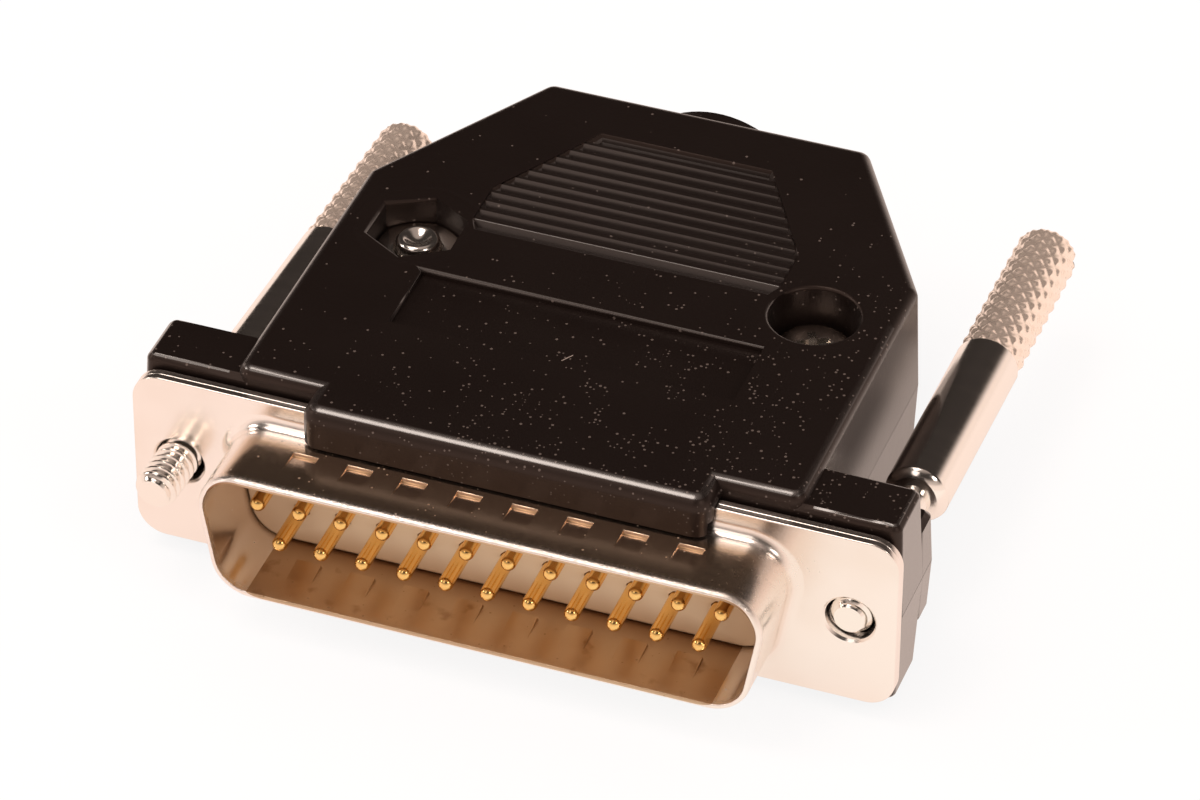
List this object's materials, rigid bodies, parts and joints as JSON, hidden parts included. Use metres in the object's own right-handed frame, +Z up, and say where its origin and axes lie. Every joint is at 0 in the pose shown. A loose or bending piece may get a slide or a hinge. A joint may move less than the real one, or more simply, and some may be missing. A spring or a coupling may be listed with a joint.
{
  "type": "d-sub connector plug with hood",
  "caption": "D-shaped pin connector in a two-part moulded cable hood with long knurled jackscrews.",
  "frame": {"origin": "centre of the flange's front face, midway between the two screw holes", "axes": "+Y runs back from the mating face to the cable outlet, +X to the right seen from the mating side with the wide row of pins up, +Z up"},
  "size_m": [0.0506, 0.0463, 0.0152],
  "materials": {
    "plated_steel": "satin nickel plate",
    "face_moulding": "pale moulded face",
    "rear_moulding": "dark moulding",
    "gold_pin": "gold flash over brass",
    "hood": "satin moulded black",
    "screw_steel": "nickel-plated",
    "clamp_steel": "plain plated strip",
    "jackscrew_steel": "bright nickel plate"
  },
  "bodies": {
    "plug": {"front_shell": "plated_steel", "rear_shell": "plated_steel", "front_insulator": "face_moulding", "rear_insulator": "rear_moulding", "hood_upper": "hood", "hood_lower": "hood", "pin_01": "gold_pin", "pin_02": "gold_pin", "pin_03": "gold_pin", "pin_04": "gold_pin", "pin_05": "gold_pin", "pin_06": "gold_pin", "pin_07": "gold_pin", "pin_08": "gold_pin", "pin_09": "gold_pin", "pin_10": "gold_pin", "pin_11": "gold_pin", "pin_12": "gold_pin", "pin_13": "gold_pin", "pin_14": "gold_pin", "pin_15": "gold_pin", "pin_16": "gold_pin", "pin_17": "gold_pin", "pin_18": "gold_pin", "pin_19": "gold_pin", "pin_20": "gold_pin", "pin_21": "gold_pin", "pin_22": "gold_pin", "pin_23": "gold_pin", "hood_screw_left": "screw_steel", "hood_screw_right": "screw_steel", "hood_nut_left": "screw_steel", "hood_nut_right": "screw_steel", "clamp_screw_left": "screw_steel", "clamp_screw_right": "screw_steel", "clamp_nut_left": "screw_steel", "clamp_nut_right": "screw_steel", "cable_clamp_upper": "clamp_steel", "cable_clamp_lower": "clamp_steel"},
    "left_screw": {"jackscrew_left": "jackscrew_steel"},
    "right_screw": {"jackscrew_right": "jackscrew_steel"}
  },
  "joints": [
    {"name": "left_screw_travel", "type": "slide", "parent": "plug", "child": "left_screw", "axis": [0.0349, 0.9994, 0], "range_m": [-0.0011, 0.0037]},
    {"name": "right_screw_travel", "type": "slide", "parent": "plug", "child": "right_screw", "axis": [0.0105, 0.9999, 0], "range_m": [-0.0047, 0.0001]}
  ]
}
